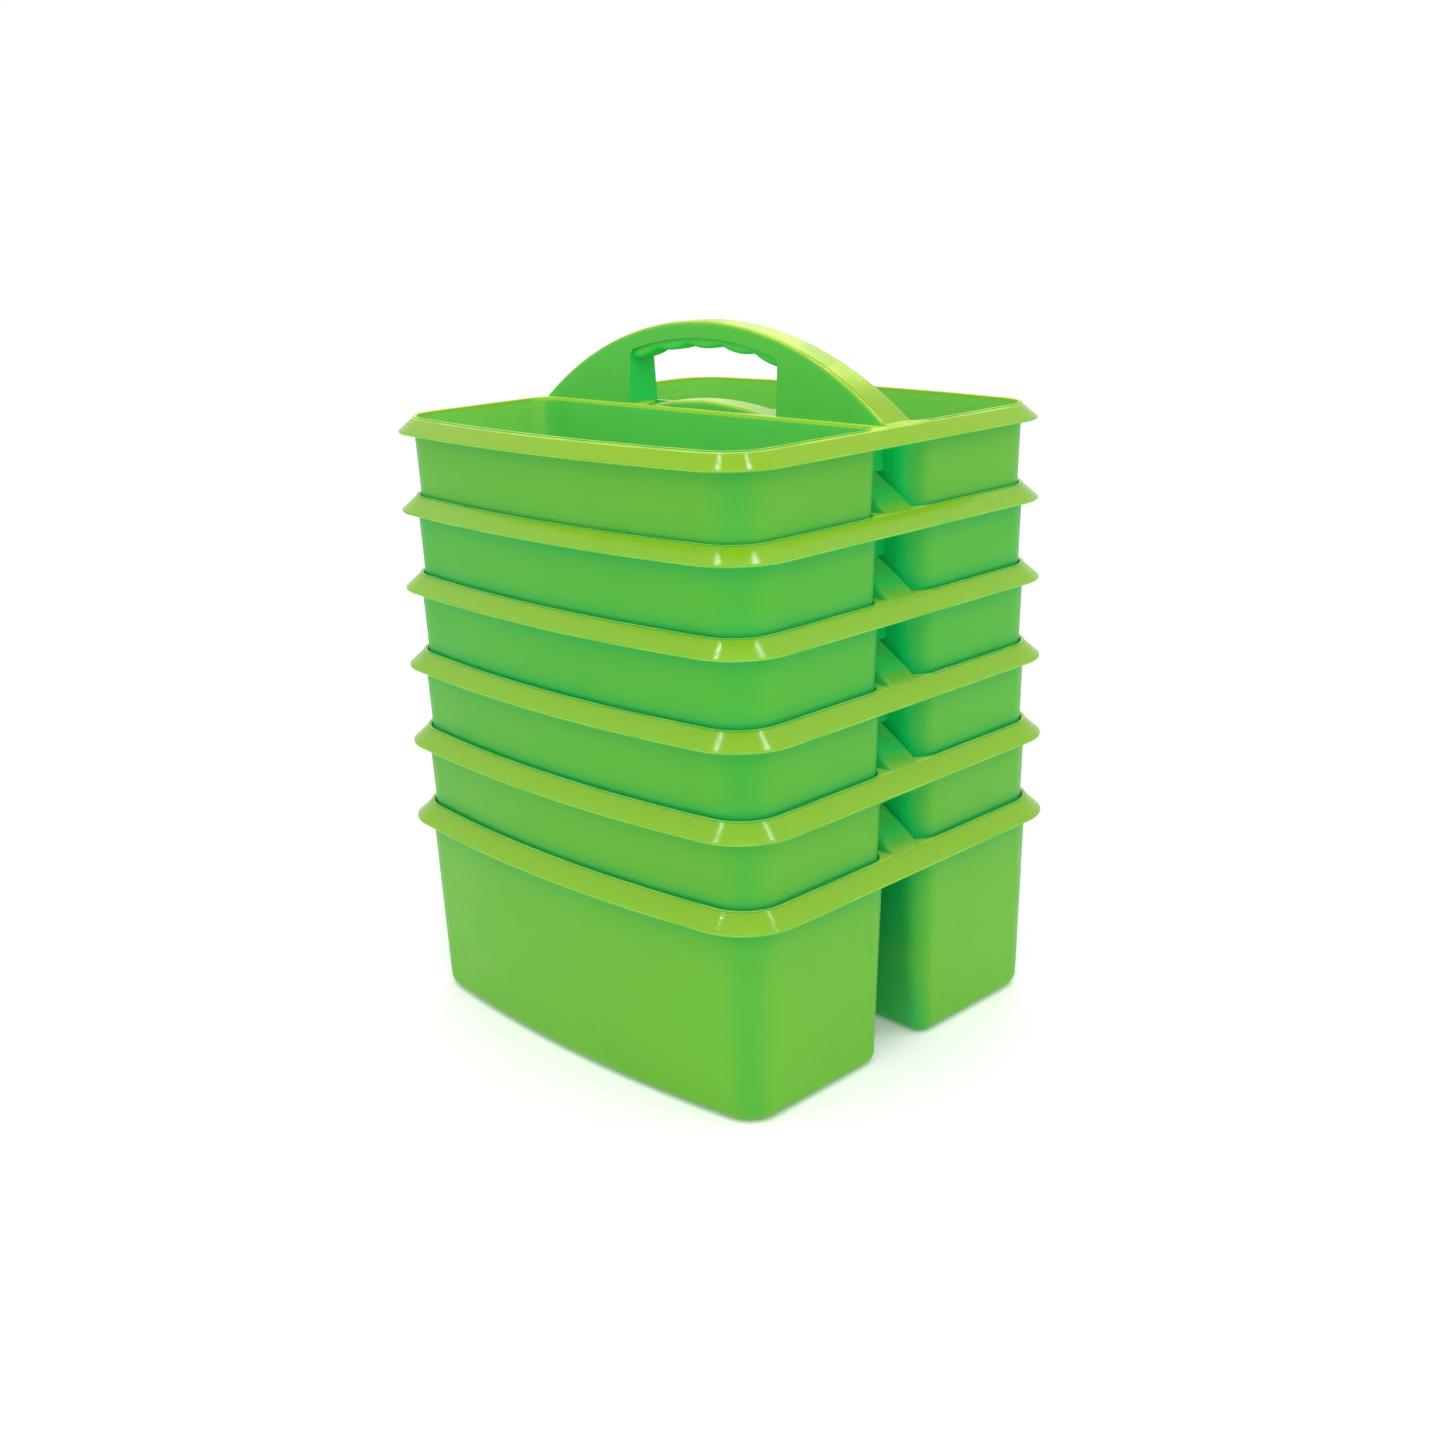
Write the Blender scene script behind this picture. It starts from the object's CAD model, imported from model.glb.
import math
import bpy
from mathutils import Vector, Matrix


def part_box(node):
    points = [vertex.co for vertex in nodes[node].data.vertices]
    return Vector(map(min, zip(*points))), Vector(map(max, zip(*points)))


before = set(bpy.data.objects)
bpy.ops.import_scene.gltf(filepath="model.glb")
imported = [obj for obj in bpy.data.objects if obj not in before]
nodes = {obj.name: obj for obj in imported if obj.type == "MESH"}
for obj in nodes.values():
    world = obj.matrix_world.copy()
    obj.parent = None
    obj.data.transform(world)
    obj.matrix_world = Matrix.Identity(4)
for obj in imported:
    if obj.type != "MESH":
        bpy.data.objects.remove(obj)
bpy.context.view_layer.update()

scene = bpy.context.scene


# ---------------------------------------------------------------- node helpers
class Tree:
    """Small wrapper that adds and wires shader nodes."""

    def __init__(self, tree):
        self.t = tree
        self.n = tree.nodes
        self.l = tree.links

    def add(self, kind, **props):
        node = self.n.new(kind)
        for k, v in props.items():
            setattr(node, k, v)
        return node

    def put(self, socket, value):
        if isinstance(value, bpy.types.NodeSocket):
            self.l.new(value, socket)
        else:
            socket.default_value = value

    def math(self, op, a, b=None, c=None, clamp=False):
        m = self.add("ShaderNodeMath", operation=op, use_clamp=clamp)
        self.put(m.inputs[0], a)
        if b is not None:
            self.put(m.inputs[1], b)
        if c is not None:
            self.put(m.inputs[2], c)
        return m.outputs[0]

    def span(self, v, a, b, lo=0.0, hi=1.0, kind="SMOOTHSTEP"):
        m = self.add("ShaderNodeMapRange", interpolation_type=kind, clamp=True)
        self.put(m.inputs["Value"], v)
        m.inputs["From Min"].default_value = a
        m.inputs["From Max"].default_value = b
        m.inputs["To Min"].default_value = lo
        m.inputs["To Max"].default_value = hi
        return m.outputs["Result"]

    def mix(self, fac, a, b, mode="MIX"):
        m = self.add("ShaderNodeMix", data_type="RGBA", blend_type=mode, clamp_factor=True)
        self.put(m.inputs[0], fac)
        self.put(m.inputs[6], a)
        self.put(m.inputs[7], b)
        return m.outputs[2]

    def noise(self, vec, scale, detail=2.0, rough=0.5):
        m = self.add("ShaderNodeTexNoise")
        self.put(m.inputs["Vector"], vec)
        m.inputs["Scale"].default_value = scale
        m.inputs["Detail"].default_value = detail
        m.inputs["Roughness"].default_value = rough
        return m.outputs["Fac"]


def lin(r, g, b):
    f = lambda c: (c / 255 / 12.92) if c <= 10 else ((c / 255 + 0.055) / 1.055) ** 2.4
    return (f(r), f(g), f(b), 1.0)


# ------------------------------------------------------------------- material
# Lime green moulded polypropylene, slightly see-through in the thin sheet: the
# rolled rims and the handle strip read yellow green, the outer walls mid green,
# the insides and the faces of the arch cooler, and the deep recesses emerald.
PITCH, DEPTH = 0.0370, 0.0926
BIN_Y, BIN_HALF_X, BIN_HALF_Y = 0.058, 0.105, 0.045


def lime_plastic(name, seed, base_z, above, nested, wall_red, lee_red, tuck, crease):
    m = bpy.data.materials.new(name)
    m.use_nodes = True
    m.node_tree.nodes.clear()
    t = Tree(m.node_tree)
    out = t.add("ShaderNodeOutputMaterial")
    bsdf = t.add("ShaderNodeBsdfPrincipled")
    t.l.new(bsdf.outputs[0], out.inputs[0])
    co = t.add("ShaderNodeTexCoord").outputs["Object"]
    shifted = t.add("ShaderNodeVectorMath", operation="ADD")
    t.put(shifted.inputs[0], co)
    shifted.inputs[1].default_value = (seed * 1.7, seed * 0.9, seed * 2.3)
    p = shifted.outputs[0]
    geo = t.add("ShaderNodeNewGeometry")
    nsep = t.add("ShaderNodeSeparateXYZ")
    t.put(nsep.inputs[0], geo.outputs["Normal"])
    nx, ny, nz = nsep.outputs["X"], nsep.outputs["Y"], nsep.outputs["Z"]
    psep = t.add("ShaderNodeSeparateXYZ")
    t.put(psep.inputs[0], co)
    x, y = psep.outputs["X"], psep.outputs["Y"]
    z = t.math("SUBTRACT", psep.outputs["Z"], base_z)
    ax, ay = t.math("ABSOLUTE", x), t.math("ABSOLUTE", y)
    flange = lin(128, 176, 31) if nested else lin(125, 168, 13)

    # how open a point is to its surroundings, and to what almost touches it
    ao = t.add("ShaderNodeAmbientOcclusion", samples=8)
    ao.inputs["Distance"].default_value = 0.05
    open_ = ao.outputs["AO"]
    ao = t.add("ShaderNodeAmbientOcclusion", samples=6)
    ao.inputs["Distance"].default_value = 0.02
    close = t.span(ao.outputs["AO"], 0.95, 0.55, kind="LINEAR")
    # the same looking down the wall only: how near the rim of the caddy below is
    down = t.add("ShaderNodeVectorMath", operation="ADD")
    t.put(down.inputs[0], geo.outputs["Normal"])
    down.inputs[1].default_value = (0, 0, -1.7)
    unit = t.add("ShaderNodeVectorMath", operation="NORMALIZE")
    t.put(unit.inputs[0], down.outputs[0])
    ao = t.add("ShaderNodeAmbientOcclusion", samples=6)
    ao.inputs["Distance"].default_value = 0.008
    t.put(ao.inputs["Normal"], unit.outputs[0])
    foot = t.math("POWER", t.span(ao.outputs["AO"], 0.70, 0.36, kind="LINEAR"), 1.5)

    # walls that face the middle of their bin: the one along the slot, which has
    # the other bin behind it, and the rest, which have daylight behind them
    ny_out = t.math("MULTIPLY", ny, t.math("SIGN", y))
    toward = t.math("MULTIPLY", ny_out, t.math("DIVIDE", t.math("SUBTRACT", ay, BIN_Y), BIN_HALF_Y))
    toward = t.math("ADD", toward, t.math("MULTIPLY", nx, t.math("DIVIDE", x, BIN_HALF_X)))
    inner = t.span(toward, 0.05, -0.25)
    inner = t.math("MULTIPLY", inner, t.span(z, DEPTH + 0.0006, DEPTH - 0.0012))
    along = t.span(ny_out, 0.55, 0.85)
    # upright faces of the arch, the sides of its hand hole and the grip
    arch = t.math("MULTIPLY", t.span(z, DEPTH - 0.0004, DEPTH + 0.0008), t.span(nz, 0.5, 0.25))
    jamb = t.math("MULTIPLY", arch, t.span(t.math("ABSOLUTE", nx), 0.75, 0.95))
    jamb = t.math("MULTIPLY", jamb, t.span(ax, 0.060, 0.055))
    grip = t.math("MULTIPLY", arch, t.span(nz, -0.05, -0.45))
    # the slot between the two bins, and the handle strip where it lies in the slot above
    slot = t.math("MULTIPLY", t.span(ay, 0.0235, 0.0125), t.span(z, DEPTH - 0.003, DEPTH - 0.007))
    slot = t.math("MULTIPLY", slot, t.math("MULTIPLY", t.span(ax, 0.1125, 0.1060), t.span(open_, 0.70, 0.35)))
    slot = t.math("MULTIPLY", slot, t.math("SUBTRACT", 1.0, inner))
    strip = t.math("MULTIPLY", t.span(ay, 0.0115, 0.0100), t.span(z, DEPTH - 0.004, DEPTH - 0.002))
    strip = t.math("MULTIPLY", strip, t.span(ax, 0.1120, 0.1030, kind="LINEAR"))
    strip = t.math("MULTIPLY", strip, t.span(ax, 0.055, 0.078))
    # rounded upright corners, where less light reaches than on the flats
    corner = t.span(t.math("ADD", t.math("ABSOLUTE", nx), t.math("ABSOLUTE", ny)), 1.02, 1.42, kind="LINEAR")
    corner = t.math("MULTIPLY", corner, corner)

    # outer walls: lime in the open, cooler in the lee of a rim, emerald in a crease;
    # the floor is pale, so the foot of the lowest one stays lime
    raised = t.span(z, 0.035, 0.055)
    lee = t.math("MAXIMUM", open_, t.math("SUBTRACT", 1.0, raised))
    close = t.math("MULTIPLY", close, raised)
    wall = t.mix(t.span(lee, 0.45, 0.92, kind="LINEAR"),
                 lin(lee_red, 154 + 0.2 * lee_red, 72 - 0.25 * lee_red), lin(wall_red, 173, 46))
    wall = t.mix(t.math("MULTIPLY", corner, 0.55), wall, lin(44, 164, 60))
    wall = t.mix(t.math("MULTIPLY", close, tuck), wall, lin(16, 180, 84))
    if above:
        wall = t.mix(t.math("MULTIPLY", foot, crease), wall, lin(8, 158, 72))
    side = t.mix(t.span(lee, 0.12, 0.50, kind="LINEAR"), lin(4, 200, 108), wall)
    deepen = t.span(open_, 0.10, 0.60, kind="LINEAR")
    inside = t.mix(deepen, lin(92, 221, 96), lin(88, 200, 84))
    inside = t.mix(along, t.mix(deepen, lin(128, 222, 92), lin(128, 210, 88)), inside)
    side = t.mix(inner, side, inside)
    side = t.mix(t.math("MULTIPLY", arch, 0.95), side, lin(82, 189, 68))
    side = t.mix(t.math("MULTIPLY", jamb, 0.95), side, lin(30, 203, 94))
    recess = t.math("MULTIPLY", arch, t.math("MULTIPLY", t.span(ay, 0.0063, 0.0058), t.span(z, DEPTH + 0.010, DEPTH + 0.014)))
    recess = t.math("MULTIPLY", recess, t.math("SUBTRACT", 1.0, jamb))
    side = t.mix(recess, side, lin(84, 214, 84))
    side = t.mix(grip, side, lin(56, 218, 92))
    side = t.mix(t.math("MULTIPLY", slot, 0.8), side, lin(6, 170, 86) if not above else lin(10, 180, 84) if nested else lin(22, 200, 94))
    up = t.span(nz, 0.28, 0.60)
    rim = t.math("MULTIPLY", up, t.span(open_, 0.12, 0.40))
    rim = t.math("MULTIPLY", rim, t.span(z, DEPTH - 0.016, DEPTH - 0.010))
    # the rolled top of each wall takes the rim's colour
    roll = t.math("MULTIPLY", inner, t.span(z, DEPTH - 0.0022, DEPTH - 0.0011))
    shaded = t.span(ay, 0.022, 0.016)
    if nested:
        side = t.mix(strip, side, lin(50, 186, 82))
        rim = t.math("MULTIPLY", rim, t.math("SUBTRACT", 1.0, strip))
    col = t.mix(rim, side, flange)
    col = t.mix(roll, col, t.mix(shaded, lin(148, 196, 44), lin(170, 224, 62)))
    # flow marks and batch variation, faint and broad
    flow = t.noise(p, 9.0, 3.0, 0.55)
    col = t.mix(t.span(flow, 0.35, 0.7, 0.0, 0.12), col, lin(112, 186, 52))
    fine = t.noise(p, 55.0, 3.0, 0.6)
    col = t.mix(t.span(fine, 0.4, 0.75, 0.0, 0.06), col, lin(66, 164, 58))
    # rolled edges, where light gathers in the plastic: the mouth of each bin, the
    # lower edge of the rim and the long edges of the strip
    high = t.span(z, DEPTH - 0.0030, DEPTH - 0.0012)
    if nested:
        mouth = t.math("MULTIPLY", high, t.span(nz, 0.80, 0.90))
    else:
        over = t.span(z, DEPTH + 0.0006, DEPTH + 0.0012)
        mouth = t.math("MULTIPLY", t.span(z, DEPTH - 0.0013, DEPTH - 0.0007), t.span(nz, 0.66, 0.73))
        mouth = t.math("MULTIPLY", mouth, t.math("SUBTRACT", 1.0, over))
        mouth = t.math("MAXIMUM", mouth, t.math("MULTIPLY", over, t.span(nz, 0.80, 0.90)))
    low = t.math("MULTIPLY", t.span(z, DEPTH - 0.0078, DEPTH - 0.0075), t.span(z, DEPTH - 0.0065, DEPTH - 0.0069))
    low = t.math("MULTIPLY", low, t.math("MULTIPLY", t.span(nz, -0.35, 0.10), t.span(nz, 0.65, 0.45)))
    low = t.math("MULTIPLY", low, t.span(toward, 0.1, 0.4))
    ridge = t.math("MULTIPLY", t.span(z, DEPTH + 0.0004, DEPTH + 0.0020), t.span(nz, 0.10, 0.25))
    ridge = t.math("MULTIPLY", ridge, t.math("MULTIPLY", t.span(t.math("ABSOLUTE", ny), 0.35, 0.60),
                                             t.span(t.math("ABSOLUTE", ny), 0.92, 0.78)))
    if nested:
        ridge = t.math("MULTIPLY", ridge, t.math("SUBTRACT", 1.0, strip))
    edge = t.math("MAXIMUM", mouth, t.math("MAXIMUM", t.math("MULTIPLY", low, 0.5), t.math("MULTIPLY", ridge, 0.6)))
    wear = t.span(t.noise(p, 38.0, 3.0, 0.6), 0.30, 0.62, 0.35, 1.0)
    col = t.mix(t.math("MULTIPLY", t.math("MULTIPLY", edge, wear), 0.75), col, lin(196, 226, 96))
    t.put(bsdf.inputs["Base Color"], col)

    satin, gloss = t.span(fine, 0.3, 0.7, 0.34, 0.44), t.span(fine, 0.3, 0.7, 0.06, 0.12)
    lip = t.math("MULTIPLY", t.span(z, DEPTH - 0.0080, DEPTH - 0.0070), t.span(z, DEPTH - 0.0040, DEPTH - 0.0050))
    smooth = t.math("MULTIPLY", t.math("MAXIMUM", up, lip), t.math("SUBTRACT", 1.0, t.math("MULTIPLY", mouth, 0.7)))
    rough = t.math("ADD", satin, t.math("MULTIPLY", smooth, t.math("SUBTRACT", gloss, satin)))
    t.put(bsdf.inputs["Roughness"], rough)
    bsdf.inputs["IOR"].default_value = 1.49
    t.put(bsdf.inputs["Specular IOR Level"], t.span(up, 0.0, 1.0, 0.16, 0.30))
    # a little light comes through the thin sheet into the recesses
    through = t.math("MAXIMUM", t.math("MULTIPLY", grip, 0.6), t.span(open_, 0.42, 0.12))
    if above:
        through = t.math("MAXIMUM", through, slot)
    if nested:
        through = t.math("MAXIMUM", through, t.math("MULTIPLY", strip, 0.5))
    t.put(bsdf.inputs["Emission Color"], t.mix(t.math("SUBTRACT", 1.0, inner), (0, 0, 0, 1), (0.0, 1.0, 0.27, 1)))
    t.put(bsdf.inputs["Emission Strength"], t.math("MULTIPLY", through, 0.06 if above else 0.03))

    # moulding texture: very fine grain over a faint waviness
    grain = t.noise(p, 1400.0, 2.0, 0.6)
    wave = t.noise(p, 26.0, 1.0, 0.4)
    b1 = t.add("ShaderNodeBump")
    b1.inputs["Strength"].default_value = 0.10
    b1.inputs["Distance"].default_value = 0.0002
    t.put(b1.inputs["Height"], grain)
    b2 = t.add("ShaderNodeBump")
    b2.inputs["Strength"].default_value = 0.20
    b2.inputs["Distance"].default_value = 0.0005
    t.put(b2.inputs["Height"], wave)
    t.l.new(b1.outputs[0], b2.inputs["Normal"])
    t.l.new(b2.outputs[0], bsdf.inputs["Normal"])
    return m


order = sorted(nodes, key=lambda n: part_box(n)[0].z)
for i, n in enumerate(order):
    o = nodes[n]
    mat = lime_plastic("lime_polypropylene_%d" % (i + 1), 3.1 * i, i * PITCH, i > 0, i < len(order) - 1,
                       (100, 96, 88, 80, 81, 94)[i], (50, 76, 66, 50, 50, 84)[i],
                       (0.8, 0.4, 0.55, 0.8, 0.8, 0.3)[i], (0, 0.78, 0.78, 0.78, 0.7, 0.25)[i])
    o.data.materials.clear()
    o.data.materials.append(mat)

# ------------------------------------------------------------------ the stage
def plain(name, colour, rough, glow=0.0):
    m = bpy.data.materials.new(name)
    m.use_nodes = True
    b = m.node_tree.nodes["Principled BSDF"]
    b.inputs["Base Color"].default_value = colour
    b.inputs["Roughness"].default_value = rough
    b.inputs["Specular IOR Level"].default_value = 0.1
    b.inputs["Emission Color"].default_value = (1, 1, 1, 1)
    b.inputs["Emission Strength"].default_value = glow
    return m


me = bpy.data.meshes.new("floor")
s = 6.0
me.from_pydata([(-s, -s, -0.0002), (s, -s, -0.0002), (s, s, -0.0002), (-s, s, -0.0002)], [], [(0, 1, 2, 3)])
floor = bpy.data.objects.new("floor", me)
scene.collection.objects.link(floor)
me.materials.append(plain("pale_floor", (0.95, 0.95, 0.95, 1), 0.9, 0.12))

world = bpy.data.worlds.new("studio")
scene.world = world
world.use_nodes = True
bg = world.node_tree.nodes["Background"]
bg.inputs[0].default_value = (1, 1, 1, 1)
bg.inputs[1].default_value = 1.0


def area(name, loc, target, size, power, size_y=None):
    d = bpy.data.lights.new(name, "AREA")
    d.shape = "RECTANGLE" if size_y else "SQUARE"
    d.size = size
    if size_y:
        d.size_y = size_y
    d.energy = power
    o = bpy.data.objects.new(name, d)
    o.location = loc
    o.rotation_mode = "QUATERNION"
    o.rotation_quaternion = (Vector(target) - Vector(loc)).to_track_quat("-Z", "Y")
    scene.collection.objects.link(o)
    return o


area("key", (1.2, -0.9, 1.4), (0, 0, 0.15), 0.5, 4, 0.7)
area("back", (-0.9, 1.2, 1.6), (0, 0, 0.2), 0.7, 3)
# a frame of four narrow overhead softboxes, which shows as glints on the near corners


def bar(name, a, b, width, power):
    """A narrow area light along the line a b, facing the near corner."""
    a, b = Vector(a), Vector(b)
    d = bpy.data.lights.new(name, "AREA")
    d.shape = "RECTANGLE"
    d.size, d.size_y = width, (b - a).length
    d.energy = power
    o = bpy.data.objects.new(name, d)
    y = (b - a).normalized()
    zc = ((a + b) / 2 - Vector((0.105, -0.092, 0.19))).normalized()
    xx = y.cross(zc).normalized()
    mm = Matrix((xx, y, xx.cross(y))).transposed().to_4x4()
    mm.translation = (a + b) / 2
    o.matrix_world = mm
    scene.collection.objects.link(o)


bar("bar_right", (0.665, 0.357, 1.3), (0.245, 0.091, 1.3), 0.016, 1.5)
bar("bar_left", (-0.309, -0.632, 1.3), (-0.053, -0.215, 1.3), 0.016, 1.5)
bar("bar_front", (0.33, -0.55, 1.3), (0.58, -0.30, 1.3), 0.02, 2.4)

# ----------------------------------------------------------------- the camera
AZ, EL, DIST, ROLL = 45.910, 6.980, 823.63, -1.808
F_PX, CX, CY = 1771.6, 687.1, 411.5
TX, TY, TZ = -11.20, -6.51, 275.71
a, e, r = math.radians(AZ), math.radians(EL), math.radians(ROLL)
back = Vector((math.sin(a) * math.cos(e), -math.cos(a) * math.cos(e), math.sin(e)))
fwd = -back
right = fwd.cross(Vector((0, 0, 1))).normalized()
upv = right.cross(fwd)
right2 = math.cos(r) * right + math.sin(r) * upv
up2 = -math.sin(r) * right + math.cos(r) * upv
cam_data = bpy.data.cameras.new("camera")
cam = bpy.data.objects.new("camera", cam_data)
scene.collection.objects.link(cam)
m = Matrix((right2, up2, back)).transposed().to_4x4()
m.translation = (Vector((TX, TY, TZ)) + back * DIST) / 1000
cam.matrix_world = m
cam_data.sensor_width = 36.0
cam_data.sensor_fit = "HORIZONTAL"
cam_data.lens = F_PX / 1440 * 36.0
# The shift belongs to this one viewpoint, as on a view camera: it goes back to
# nothing when the camera is moved round the object.
for axis, shift in (("shift_x", (720 - CX) / 1440), ("shift_y", (CY - 720) / 1440)):
    drv = cam_data.driver_add(axis).driver
    drv.type = "SCRIPTED"
    for k, name in enumerate(("px", "py", "pz")):
        var = drv.variables.new()
        var.name = name
        var.type = "TRANSFORMS"
        var.targets[0].id = cam
        var.targets[0].transform_type = ("LOC_X", "LOC_Y", "LOC_Z")[k]
        var.targets[0].transform_space = "WORLD_SPACE"
    home = cam.matrix_world.translation
    drv.expression = "%.6f if abs(px - %.6f) + abs(py - %.6f) + abs(pz - %.6f) < 0.0005 else 0" % (
        shift, home.x, home.y, home.z)
cam_data.clip_start, cam_data.clip_end = 0.01, 50
scene.camera = cam

scene.view_settings.view_transform = "Standard"
scene.view_settings.look = "None"
scene.view_settings.exposure = 0.0
